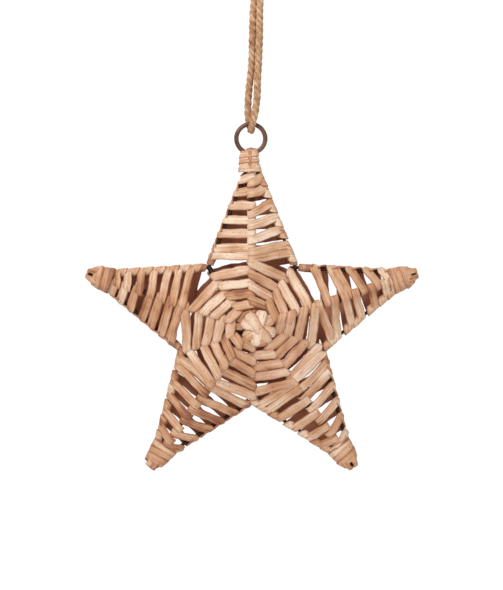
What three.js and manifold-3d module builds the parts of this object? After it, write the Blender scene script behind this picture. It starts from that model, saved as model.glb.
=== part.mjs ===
// A five-pointed wicker star that hangs from a jute loop. A star-shaped frame of iron wire is
// wound with flat wicker strips: each arm has one strip wound round it from tip to root, and the
// middle of each face is closed by a strip woven in rings over the ten spokes.
// Millimetres, +Z up, the front faces -Y. The origin is where a hook carries the jute loop.
import * as THREE from "three";
import { mergeVertices } from "three/addons/utils/BufferGeometryUtils.js";
import Module from "manifold-3d";

const wasm = await Module();
wasm.setup();

const starSpan = 200; // across the two side arms, over the wicker
const cornerRadius = 44; // centre of the star to the outline wire at an inner corner
const frameHalfDepth = 17; // outline plane to where the spokes cross, on each face
const wireDiameter = 2;
const wireSides = 4;
const clearance = 0.3; // between pieces that touch

const stripWidth = 5.4;
const stripThickness = 1.2;
const stripBevel = 0.7; // how much narrower a strip is on top, at each edge
const stripBite = 0.9; // how far the first turn of a strip runs under the cover of its tip

const coverLength = 16; // the close winding over the end of an arm
const coverThickness = 2.2;
const coverGroove = 0.5; // how deep the joints between its bands are
const coverBands = 3;
const coverFlat = 2; // half the width that stays flat at the blunt end

// Seen from the front with the tip up, a strip meets the left and right edges of its arm nearer
// the tip than the ridge by its lean, and it is wound on from there behind the arm.
const arms = [
  { name: "wrap_top_arm", angle: 90, pitch: 8.3, leftLean: 1, rightLean: 3.6 },
  { name: "wrap_right_arm", angle: 18, pitch: 8.3, leftLean: -3.4, rightLean: -0.8 },
  { name: "wrap_lower_right_arm", angle: 306, pitch: 8.3, leftLean: -3, rightLean: -0.6 },
  { name: "wrap_lower_left_arm", angle: 234, pitch: 8.3, leftLean: -3, rightLean: -2 },
  { name: "wrap_left_arm", angle: 162, pitch: 7, leftLean: 0, rightLean: 2.4 },
];
const rimToTurn = 1.2; // between the woven rings and the last turn on an arm
const coilToCorner = 3.3; // the strip's ends, coiled round the outline wire, stop this far short
const coilSides = 6;

const spokes = 10;
const weaveStart = 11.8; // radius of the first crossing
const weavePitch = 6.8; // how much the radius grows in one round
const plankWidth = 6; // the strip between two spokes
const plankNeck = 5; // and where it crosses a spoke
const plankShoulder = 0.2; // share of a span where it reaches its full width
const weaves = [
  { name: "weave_front", side: -1, short: 0, firstSpoke: 5, straps: 5, strapTurn: 12 },
  { name: "weave_back", side: 1, short: 4, firstSpoke: 3, straps: 3, strapTurn: 40 },
];
const rosetteRadius = 10.4;
const strapWidth = 5.6;
const strapLift = 0.3; // each crossing strap lies this much higher than the one before

const ringDiameter = 20; // outside
const ringWire = 2.7;
const ringSegments = 20;
const ringSides = 6;
const ringShift = -0.7; // to the side of the star's middle
const tieThickness = 1.7; // the wicker over the bottom of the ring

const cordDiameter = 3.5;
const cordSteps = 52;
const cordSides = 8;
const ringBelowHook = 92; // hook to the centre of the ring
const ringBesideHook = -4.7; // the cord slants a little
// The cord's middle line from the knot down in front of the ring, through it and up again.
const cordRoute = [
  [1.9, 0, 5.2], [2.8, 0, 0.5], [2.3, -0.1, -3.5], [1, -0.5, -8.5], [0.6, -0.8, -16],
  [0.5, -0.9, -24], [0.4, -1, -33], [0, -1, -43], [-0.4, -1.2, -52], [-0.8, -1.5, -60],
  [-1.1, -2, -68], [-1.9, -2.9, -75], [-3, -3.6, -80], [-3.8, -3.7, -83.4], [-4.2, -2.6, -86],
  [-4.5, 0, -87.1], [-4.9, 2.6, -86], [-5.4, 3.7, -83.4], [-6.1, 3.5, -79], [-6.4, 2.6, -74],
  [-6.2, 2, -68], [-5.6, 1.7, -60], [-4.6, 1.6, -52], [-4, 1.3, -43], [-3.8, 1, -33],
  [-3.6, 0.9, -24], [-3.3, 0.8, -16], [-2.6, 0.5, -8.5], [-2.6, 0.1, -3.5], [-2.8, 0, 0.5],
  [-1.9, 0, 5.2],
];
const knotDiameter = 9.5;
const knotHeight = 8.5;
const knotFlatness = 0.85; // depth of the knot as a share of its width
const knotSegments = 12;
const tailLength = 9;
const tailSpread = 24; // degrees from upright

const degree = Math.PI / 180;
const wireRadius = wireDiameter / 2;
const tipRadius = starSpan / 2 / Math.sin(72 * degree);
const wireTip = tipRadius - coverThickness - clearance - wireRadius;
const halfSector = 36 * degree;
const cornerAlong = cornerRadius * Math.cos(halfSector);
const cornerAcross = cornerRadius * Math.sin(halfSector);
const edgeSlope = cornerAcross / (wireTip - cornerAlong);
const depthSlope = frameHalfDepth / wireTip;
const facetTilt = Math.atan2(depthSlope, edgeSlope);
const armGap = (wireRadius + clearance) / Math.cos(Math.atan(edgeSlope));
const faceGap = wireRadius + clearance;
const liftFactor = Math.hypot(1, depthSlope, depthSlope / edgeSlope);
const coverRoot = tipRadius - coverLength;
const weaveRoom = cornerRadius - faceGap - plankNeck / 2 - weaveStart;
const mostCrossings = Math.floor((weaveRoom / weavePitch) * spokes) + 1;
const ringRadius = (ringDiameter - ringWire) / 2;
const ringCentre = wireTip + faceGap + ringDiameter / 2;

// A closed solid through sections that have equal numbers of points.
function loft(sections) {
  const count = sections[0].length;
  const points = sections.flat();
  const faces = [];
  for (let section = 0; section + 1 < sections.length; section += 1) {
    for (let corner = 0; corner < count; corner += 1) {
      const here = section * count + corner;
      const next = section * count + ((corner + 1) % count);
      faces.push(here, next, next + count, here, next + count, here + count);
    }
  }
  const last = (sections.length - 1) * count;
  for (let corner = 1; corner + 1 < count; corner += 1) {
    faces.push(0, corner + 1, corner);
    faces.push(last, last + corner, last + corner + 1);
  }
  const geometry = new THREE.BufferGeometry().setFromPoints(points);
  geometry.setIndex(volumeInside(points, faces) > 0 ? faces : faces.reverse());
  return geometry;
}

function volumeInside(points, faces) {
  let volume = 0;
  for (let face = 0; face < faces.length; face += 3) {
    const [first, second, third] = faces.slice(face, face + 3).map((index) => points[index]);
    volume += first.dot(second.clone().cross(third)) / 6;
  }
  return volume;
}

function solidOf(geometry) {
  const bare = geometry.clone();
  bare.deleteAttribute("normal");
  bare.deleteAttribute("uv");
  const merged = mergeVertices(bare, 1e-5);
  const vertProperties = new Float32Array(merged.attributes.position.array);
  const triVerts = new Uint32Array(merged.index.array);
  return new wasm.Manifold(new wasm.Mesh({ numProp: 3, vertProperties, triVerts }));
}

function geometryOf(solid) {
  const mesh = solid.getMesh();
  const geometry = new THREE.BufferGeometry();
  geometry.setAttribute("position", new THREE.BufferAttribute(mesh.vertProperties, 3));
  geometry.setIndex(new THREE.BufferAttribute(mesh.triVerts, 1));
  const faceted = geometry.toNonIndexed();
  faceted.computeVertexNormals();
  return faceted;
}

function unite(geometries) {
  return geometries.map(solidOf).reduce((whole, piece) => whole.add(piece));
}

// A point on the front (side -1) or back (side 1) of the star, lifted off that face.
function facePoint(place, lift, side) {
  const turned = place.angle() - Math.PI / 2 + halfSector;
  const fromArm = THREE.MathUtils.euclideanModulo(turned, 2 * halfSector);
  const along = place.length() * Math.cos(fromArm - halfSector);
  const across = place.length() * Math.abs(Math.sin(fromArm - halfSector));
  const height = frameHalfDepth - depthSlope * (along + across / edgeSlope);
  return new THREE.Vector3(place.x, side * (height + lift * liftFactor), place.y);
}

// The corners of an arm's diamond section, from the left edge over the front to the right edge
// and back behind. Each is rounded by a few points between the directions of its two sides.
const armCorners = [
  { lean: "left", side: -1, depth: 0, from: facetTilt - Math.PI, to: -facetTilt, points: 2 },
  { lean: "front", side: 0, depth: -1, from: -facetTilt, to: facetTilt, points: 2 },
  { lean: "right", side: 1, depth: 0, from: facetTilt, to: Math.PI - facetTilt, points: 2 },
  { lean: "back", side: 0, depth: 1, from: Math.PI - facetTilt, to: Math.PI + facetTilt, points: 2 },
];

const armStations = armCorners.flatMap((corner) => {
  const step = (corner.to - corner.from) / corner.points;
  const reach = 1 / Math.cos(step / 2);
  return Array.from({ length: corner.points }, (unused, index) => {
    const direction = corner.from + step * (index + 0.5);
    return { ...corner, outX: Math.sin(direction) * reach, outY: -Math.cos(direction) * reach };
  });
});

// A point round an arm, with its tip towards +Z and a given gap to the middle of the frame.
function armPoint(station, along, gap, flat = 0) {
  const toTip = Math.max(wireTip - along, 0);
  const halfWidth = Math.max(edgeSlope * toTip, flat);
  const x = station.side * halfWidth + station.outX * gap;
  const y = station.depth * depthSlope * toTip + station.outY * gap;
  return new THREE.Vector3(x, y, along);
}

function armSection(along, gap, flat) {
  return armStations.map((station) => armPoint(station, along, gap, flat));
}

function windingSection(station, along) {
  const low = along - stripWidth / 2;
  const high = along + stripWidth / 2;
  return [
    armPoint(station, low, armGap),
    armPoint(station, high, armGap),
    armPoint(station, high - stripBevel, armGap + stripThickness),
    armPoint(station, low + stripBevel, armGap + stripThickness),
  ];
}

const firstTurn = coverRoot - stripWidth / 2 + stripBite;

function winding(arm, lastTurn) {
  const gaps = Math.max(Math.round((firstTurn - lastTurn) / arm.pitch), 1);
  const pitch = (firstTurn - lastTurn) / gaps;
  const backLean = (arm.leftLean + arm.rightLean - pitch) / 2;
  const leans = { left: arm.leftLean, front: 0, right: arm.rightLean, back: backLean };
  const sections = [];
  for (let turn = 0; turn <= gaps; turn += 1) {
    for (const station of armStations) {
      if (turn < gaps || station.lean !== "back") {
        sections.push(windingSection(station, firstTurn - pitch * turn + leans[station.lean]));
      }
    }
  }
  return loft(sections);
}

function cover(end) {
  const outside = armGap + coverThickness;
  const bandLength = (end - coverRoot) / coverBands;
  const sections = [];
  for (let band = 0; band < coverBands; band += 1) {
    const start = coverRoot + band * bandLength;
    sections.push(armSection(start, outside - coverGroove, coverFlat));
    sections.push(armSection(start + bandLength / 2, outside, coverFlat));
  }
  sections.push(armSection(end, outside - coverThickness / 2, coverFlat));
  return loft(sections);
}

function coverHollow() {
  const places = [coverRoot - stripWidth, wireTip, wireTip + faceGap];
  return loft(places.map((along) => armSection(along, armGap)));
}

// A sleeve round the outline wire, from beside an edge of the last turn to near an inner corner.
function rootCoil(side, start, radius, extra) {
  const tip = new THREE.Vector3(0, 0, wireTip);
  const corner = new THREE.Vector3(side * cornerAcross, 0, cornerAlong);
  const wire = corner.clone().sub(tip);
  const length = wire.length();
  wire.normalize();
  const outward = new THREE.Vector3(0, 1, 0).cross(wire);
  const reach = radius / Math.cos(Math.PI / coilSides);
  const ends = [(start - wireTip) / wire.z - extra, length - coilToCorner + extra];
  return loft(ends.map((distance) => {
    const centre = tip.clone().addScaledVector(wire, distance);
    return Array.from({ length: coilSides }, (unused, index) => {
      const angle = ((index + 0.5) * 2 * Math.PI) / coilSides;
      const point = centre.clone().addScaledVector(outward, reach * Math.cos(angle));
      point.y += reach * Math.sin(angle);
      return point;
    });
  }));
}

function wrap(arm, ringHole) {
  const isTop = arm.angle === 90;
  const lastTurn = rimBeside(arm) + rimToTurn + stripWidth / 2;
  const tieTop = ringCentre - ringRadius + ringWire / 2 + clearance + tieThickness;
  const pieces = [winding(arm, lastTurn), cover(isTop ? tieTop : tipRadius)];
  const hollows = [coverHollow()];
  for (const [side, lean] of [[-1, arm.leftLean], [1, arm.rightLean]]) {
    pieces.push(rootCoil(side, lastTurn + lean, faceGap + stripThickness, 0));
    hollows.push(rootCoil(side, lastTurn + lean, faceGap, stripWidth));
  }
  if (isTop) hollows.push(ringHole);
  return unite(pieces).subtract(unite(hollows));
}

function wire(start, end, radius) {
  const along = end.clone().sub(start);
  const geometry = new THREE.CylinderGeometry(radius, radius, along.length(), wireSides);
  const turn = new THREE.Quaternion();
  turn.setFromUnitVectors(new THREE.Vector3(0, 1, 0), along.normalize());
  geometry.applyQuaternion(turn);
  const middle = start.clone().add(end).multiplyScalar(0.5);
  return geometry.translate(middle.x, middle.y, middle.z);
}

function frame(radius) {
  const wires = [];
  const apexes = [-1, 1].map((side) => new THREE.Vector3(0, side * frameHalfDepth, 0));
  const rim = Array.from({ length: spokes }, (unused, index) => {
    const reach = index % 2 === 0 ? wireTip : cornerRadius;
    const angle = 90 * degree + index * halfSector;
    return new THREE.Vector3(reach * Math.cos(angle), 0, reach * Math.sin(angle));
  });
  rim.forEach((point, index) => {
    wires.push(wire(point, rim[(index + 1) % spokes], radius));
    apexes.forEach((apex) => wires.push(wire(apex, point, radius)));
  });
  return unite(wires);
}

// A strip's section across the place given, where raise lifts each of its points into space.
function ribbon(place, outward, width, raise) {
  const beside = (distance) => place.clone().addScaledVector(outward, distance);
  return [
    raise(beside(-width / 2), 0),
    raise(beside(width / 2), 0),
    raise(beside(width / 2 - stripBevel), stripThickness),
    raise(beside(stripBevel - width / 2), stripThickness),
  ];
}

function weaveRings(weave) {
  const crossings = Array.from({ length: mostCrossings - weave.short }, (unused, index) => {
    const angle = 90 * degree - (weave.firstSpoke + index) * halfSector;
    const radius = weaveStart + (weavePitch * index) / spokes;
    return new THREE.Vector2(Math.cos(angle), Math.sin(angle)).multiplyScalar(radius);
  });
  const raise = (place, rise) => facePoint(place, faceGap + rise, weave.side);
  const sections = [];
  crossings.forEach((here, index) => {
    sections.push(ribbon(here, here.clone().normalize(), plankNeck, raise));
    const next = crossings[index + 1];
    if (!next) return;
    const outward = here.clone().add(next).normalize();
    for (const share of [plankShoulder, 1 - plankShoulder]) {
      sections.push(ribbon(here.clone().lerp(next, share), outward, plankWidth, raise));
    }
  });
  return sections;
}

// How far along an arm the rings on either face reach.
function rimBeside(arm) {
  const outward = new THREE.Vector2(Math.cos(arm.angle * degree), Math.sin(arm.angle * degree));
  const places = weaves.flatMap((weave) => weaveRings(weave).flat());
  const beside = places
    .map((point) => new THREE.Vector2(point.x, point.z))
    .filter((place) => place.dot(outward) >= place.length() * Math.cos(halfSector));
  return Math.max(...beside.map((place) => place.dot(outward)));
}

// Straps laid across one another over the middle. They lie as high as the ridges all round.
function rosette(weave) {
  return Array.from({ length: weave.straps }, (unused, index) => {
    const angle = weave.strapTurn * degree + (index * Math.PI) / weave.straps;
    const along = new THREE.Vector2(Math.cos(angle), Math.sin(angle));
    const outward = new THREE.Vector2(-along.y, along.x);
    const lift = faceGap + strapLift * index;
    return loft([-1, 0, 1].map((share) => {
      const ridge = frameHalfDepth - depthSlope * Math.abs(share) * rosetteRadius;
      const height = (rise) => weave.side * (ridge + (lift + rise) * liftFactor);
      const raise = (place, rise) => new THREE.Vector3(place.x, height(rise), place.y);
      return ribbon(along.clone().multiplyScalar(share * rosetteRadius), outward, strapWidth, raise);
    }));
  });
}

function weaving(weave) {
  return unite([loft(weaveRings(weave)), ...rosette(weave)]);
}

function ringShape(wireWidth) {
  const shape = new THREE.TorusGeometry(ringRadius, wireWidth / 2, ringSides, ringSegments);
  shape.rotateX(Math.PI / 2);
  return shape.translate(ringShift, 0, ringCentre);
}

function polygon(diameter, sides) {
  const points = Array.from({ length: sides }, (unused, index) => {
    const angle = (index * 2 * Math.PI) / sides;
    return new THREE.Vector2(Math.cos(angle), Math.sin(angle)).multiplyScalar(diameter / 2);
  });
  return new THREE.Shape(points);
}

function cord() {
  const route = cordRoute.map(([x, y, z]) => new THREE.Vector3(x, y, z));
  const extrudePath = new THREE.CatmullRomCurve3(route);
  const options = { steps: cordSteps, bevelEnabled: false, extrudePath };
  return new THREE.ExtrudeGeometry(polygon(cordDiameter, cordSides), options);
}

function knot() {
  const bottom = cordRoute[0][2] + clearance;
  const footRadius = cordRoute[0][0] + cordDiameter / 2;
  const profile = [new THREE.Vector2(0, 0), new THREE.Vector2(footRadius, 0)];
  for (const share of [0.25, 0.5, 0.75]) {
    const bulge = footRadius + (knotDiameter / 2 - footRadius) * Math.sin(share * Math.PI);
    profile.push(new THREE.Vector2(bulge, share * knotHeight));
  }
  profile.push(new THREE.Vector2(footRadius * 0.7, knotHeight), new THREE.Vector2(0, knotHeight));
  const lump = new THREE.LatheGeometry(profile, knotSegments);
  lump.rotateX(Math.PI / 2);
  lump.scale(1, knotFlatness, 1);
  lump.translate(0, 0, bottom);
  const tails = [-1, 1].map((side) => {
    const tail = new THREE.CylinderGeometry(cordDiameter / 2, cordDiameter / 2, tailLength, cordSides);
    tail.rotateX(Math.PI / 2);
    tail.translate(0, 0, tailLength / 2);
    tail.rotateY(side * tailSpread * degree);
    return tail.translate(0, 0, bottom + knotHeight - cordDiameter / 2);
  });
  return unite([lump, ...tails]);
}

function material(color, roughness, metalness = 0) {
  return new THREE.MeshStandardMaterial({ color, roughness, metalness });
}

const wicker = "#d9b08c";
const backWicker = "#b98a66";
const blackIron = "#2b2522";
const bronzedIron = "#6d5140";
const jute = "#c49a66";

function named(name, geometry, finish) {
  const mesh = new THREE.Mesh(geometry, finish);
  mesh.name = name;
  return mesh;
}

const star = new THREE.Group();
star.position.set(ringBesideHook - ringShift, 0, -ringBelowHook - ringCentre);
star.add(named("wire_frame", geometryOf(frame(wireRadius)), material(blackIron, 0.6, 0.8)));
star.add(named("hanging_ring", ringShape(ringWire), material(bronzedIron, 0.5, 0.8)));

const ringHole = ringShape(ringWire + 2 * clearance);
for (const arm of arms) {
  const mesh = named(arm.name, geometryOf(wrap(arm, ringHole)), material(wicker, 0.7));
  mesh.rotation.y = (90 - arm.angle) * degree;
  star.add(mesh);
}

for (const weave of weaves) {
  const finish = material(weave.side < 0 ? wicker : backWicker, 0.7);
  star.add(named(weave.name, geometryOf(weaving(weave)), finish));
}

const hangingStar = new THREE.Group();
hangingStar.add(star);
hangingStar.add(named("hanging_cord", cord(), material(jute, 0.9)));
hangingStar.add(named("cord_knot", geometryOf(knot()), material(jute, 0.9)));

export default hangingStar;
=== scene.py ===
# Wicker hanging star: a wire star wound with flat wicker strips, on an iron ring and a jute cord.
# Lengths are in millimetres until a mesh is made, which is in metres.
import math
import random

import bmesh
import bpy
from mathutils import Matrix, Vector


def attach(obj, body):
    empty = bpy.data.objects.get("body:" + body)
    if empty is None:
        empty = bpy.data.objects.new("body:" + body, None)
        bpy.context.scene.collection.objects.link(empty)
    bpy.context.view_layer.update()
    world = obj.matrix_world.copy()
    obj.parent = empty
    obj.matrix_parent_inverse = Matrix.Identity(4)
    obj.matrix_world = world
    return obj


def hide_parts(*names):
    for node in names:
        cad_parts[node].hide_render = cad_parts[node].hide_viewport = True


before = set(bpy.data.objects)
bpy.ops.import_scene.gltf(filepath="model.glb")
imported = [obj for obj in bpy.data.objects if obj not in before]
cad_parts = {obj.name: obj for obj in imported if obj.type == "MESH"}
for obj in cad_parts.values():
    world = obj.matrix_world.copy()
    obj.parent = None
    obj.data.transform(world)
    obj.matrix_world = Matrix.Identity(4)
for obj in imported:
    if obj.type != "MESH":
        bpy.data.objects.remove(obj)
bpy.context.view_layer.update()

mm = 0.001
degree = math.pi / 180

photo = {
    "width": 503,
    "height": 590,
    "mmPerPixel": 0.6,
    "starX": 252,  # the star's centre in the photograph
    "starY": 326.8,
}

starSizes = {
    "span": 200,  # across the tips of the side arms
    "cornerRadius": 44,  # from the star's centre to an inner corner
    "halfDepth": 17,  # from the outline's plane to the middle of a face
    "wire": 2.0,
    "cover": 2.2,  # the winding beyond the end of an arm's wires
    "clearance": 0.3,
    "ringBelowHook": 92,  # from the hanging point down to the ring's centre
    "ringBesideHook": -4.7,
    "ringShift": -0.7,  # the ring's centre, to the right of the star's
    "ringDiameter": 20,
    "ringWire": 2.7,
}

# Frame geometry, worked out as in the solids
wireRadius = starSizes["wire"] / 2
tipRadius = starSizes["span"] / 2 / math.sin(72 * degree)
wireTip = tipRadius - starSizes["cover"] - starSizes["clearance"] - wireRadius
cornerAlong = starSizes["cornerRadius"] * math.cos(36 * degree)
cornerAcross = starSizes["cornerRadius"] * math.sin(36 * degree)
edgeSlope = cornerAcross / (wireTip - cornerAlong)
depthSlope = starSizes["halfDepth"] / wireTip
facetTilt = math.atan2(depthSlope, edgeSlope)
ringCentre = wireTip + wireRadius + starSizes["clearance"] + starSizes["ringDiameter"] / 2
ringRadius = (starSizes["ringDiameter"] - starSizes["ringWire"]) / 2
starCentre = Vector((
    starSizes["ringBesideHook"] - starSizes["ringShift"],
    0,
    -starSizes["ringBelowHook"] - ringCentre,
))

cameraSizes = {"lens": 135, "sensor": 36, "clipStart": 0.01, "clipEnd": 20}


# Camera: level, with the photograph's frame laid on the plane of the star's outline
def makeCamera(sizes):
    viewHeight = photo["height"] * photo["mmPerPixel"]
    distance = viewHeight * sizes["lens"] / sizes["sensor"]
    data = bpy.data.cameras.new("photoCamera")
    data.lens = sizes["lens"]
    data.sensor_width = sizes["sensor"]
    data.clip_start = sizes["clipStart"]
    data.clip_end = sizes["clipEnd"]
    camera = bpy.data.objects.new("photoCamera", data)
    bpy.context.scene.collection.objects.link(camera)
    x = starCentre.x + (photo["width"] / 2 - photo["starX"]) * photo["mmPerPixel"]
    z = starCentre.z - (photo["height"] / 2 - photo["starY"]) * photo["mmPerPixel"]
    camera.location = Vector((x, -distance, z)) * mm
    camera.rotation_euler = (90 * degree, 0, 0)
    bpy.context.scene.camera = camera
    print("camera", round(distance), "mm away")


makeCamera(cameraSizes)


# A wire is a wrapped socket: an expression on wires adds its maths nodes
class Wire:
    def __init__(self, tree, socket):
        self.tree = tree
        self.socket = socket

    def maths(self, operation, *others):
        return self.tree.node("ShaderNodeMath", {"operation": operation}, [self, *others])

    def __add__(self, other):
        return self.maths("ADD", other)

    def __radd__(self, other):
        return self.maths("ADD", other)

    def __sub__(self, other):
        return self.maths("SUBTRACT", other)

    def __rsub__(self, other):
        return self.tree.node("ShaderNodeMath", {"operation": "SUBTRACT"}, [other, self])

    def __mul__(self, other):
        return self.maths("MULTIPLY", other)

    def __rmul__(self, other):
        return self.maths("MULTIPLY", other)

    def __pow__(self, other):
        return self.maths("POWER", other)

    def sine(self):
        return self.maths("SINE")

    def cosine(self):
        return self.maths("COSINE")

    def size(self):
        return self.maths("ABSOLUTE")

    def sign(self):
        return self.maths("SIGN")

    def isOver(self, other):
        return self.maths("GREATER_THAN", other)

    def clamped(self):
        return self.tree.node("ShaderNodeClamp", {}, [self])


class Tree:
    def __init__(self, nodeTree):
        self.nodes = nodeTree.nodes
        self.links = nodeTree.links

    # Settings come first, then the sockets' values or wires: a list for the first sockets in
    # order, or a dictionary by name. The output is given by its place or its name.
    def node(self, kind, settings=None, values=None, out=0):
        node = self.nodes.new(kind)
        for name, value in (settings or {}).items():
            if name == "stops":
                self.setStops(node.color_ramp, value)
            else:
                setattr(node, name, value)
        pairs = values.items() if isinstance(values, dict) else enumerate(values or [])
        for key, value in pairs:
            self.feed(self.socketOf(node, key), value)
        return Wire(self, node.outputs[out]) if node.outputs else node

    def socketOf(self, node, key):
        usable = [socket for socket in node.inputs if socket.enabled]
        if isinstance(key, int):
            return usable[key]
        return next(socket for socket in usable if socket.name == key)

    def feed(self, socket, value):
        if isinstance(value, Wire):
            self.links.new(value.socket, socket)
        else:
            socket.default_value = value

    def setStops(self, ramp, stops):
        while len(ramp.elements) < len(stops):
            ramp.elements.new(0.5)
        for element, (place, colour) in zip(ramp.elements, stops):
            element.position = place
            element.color = colour

    # The three parts of a vector, each as a wire
    def parts(self, vector):
        first = self.node("ShaderNodeSeparateXYZ", {}, [vector])
        return [Wire(self, out) for out in first.socket.node.outputs]

    def join(self, x, y, z):
        return self.node("ShaderNodeCombineXYZ", {}, [x, y, z])


# A strip is a row of stations. A station holds the strip's middle, the direction across it,
# half its width, its thickness and how far its section leans along its run.
def station(middle, across, halfWidth, thickness, slant=0.0):
    return {
        "middle": middle, "across": across, "halfWidth": halfWidth,
        "thickness": thickness, "slant": slant,
    }


def blend(first, second, share):
    return first + (second - first) * share


# A smooth curve through the points, at a share of the way from one to the next
def throughPoints(points, place, share):
    before = points[max(place - 1, 0)]
    here = points[place]
    after = points[place + 1]
    beyond = points[min(place + 2, len(points) - 1)]
    square = share * share
    cube = square * share
    return 0.5 * (
        2 * here
        + (after - before) * share
        + (2 * before - 5 * here + 4 * after - beyond) * square
        + (3 * here - before - 3 * after + beyond) * cube
    )


# More stations on that curve, about a step apart
def smoothed(stations, step):
    middles = [one["middle"] for one in stations]
    dense = []
    for place in range(len(stations) - 1):
        here, after = stations[place], stations[place + 1]
        pieces = max(1, round((after["middle"] - here["middle"]).length / step))
        for piece in range(pieces):
            share = piece / pieces
            dense.append(station(
                throughPoints(middles, place, share),
                here["across"].lerp(after["across"], share),
                blend(here["halfWidth"], after["halfWidth"], share),
                blend(here["thickness"], after["thickness"], share),
                blend(here["slant"], after["slant"], share),
            ))
    dense.append(dict(stations[-1]))
    return dense


# Gathers strips, wires or plies for one piece, then sweeps them all with one node tree
class Bundle:
    def __init__(self, seed):
        self.random = random.Random(seed)
        self.points = []
        self.edges = []
        self.across = []
        self.upward = []
        self.shape = []
        self.grain = []
        self.rows = []

    # Tone tells strips apart, age darkens one, and run is how far along it its pattern begins
    def add(self, stations, tone=None, age=0.0, run=None, step=0.8):
        dense = smoothed(stations, step)
        tone = self.random.random() if tone is None else tone
        run = self.random.random() * 400 if run is None else run
        start = len(self.points)
        for place, one in enumerate(dense):
            before = dense[max(place - 1, 0)]["middle"]
            after = dense[min(place + 1, len(dense) - 1)]["middle"]
            along = (after - before).normalized()
            across = one["across"]
            across = (across - along * across.dot(along)).normalized()
            if place:
                run += (one["middle"] - before).length
                self.edges.append((start + place - 1, start + place))
            self.points.append(one["middle"] * mm)
            self.across.append(across + along * one["slant"])
            self.upward.append(along.cross(across))
            self.shape.append(Vector((one["halfWidth"], one["thickness"] / 2, 0)) * mm)
            self.grain.append(Vector((run, tone, age)))

    # Adds the strip whose stations were put in rows
    def close(self, tone, age, run=None):
        self.add(self.rows, tone, age, run)
        self.rows = []

    def lines(self, name):
        mesh = bpy.data.meshes.new(name)
        mesh.from_pydata(self.points, self.edges, [])
        for key in ("across", "upward", "shape", "grain"):
            values = getattr(self, key)
            layer = mesh.attributes.new(key, "FLOAT_VECTOR", "POINT")
            layer.data.foreach_set("vector", [part for value in values for part in value])
        return mesh


# Noise on the strips, counted per millimetre along and across. The shifts move it by a strip's
# tone, so that no two strips are alike.
sweepNoise = {
    "along": 0.22,
    "across": 0.9,
    "shift": 71,
    "driftAlong": 0.07,
    "driftShift": 33,
    "driftShare": 5,  # how far the middle line sways, for each length of crinkle
    "grooveShift": 40,
}


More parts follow.
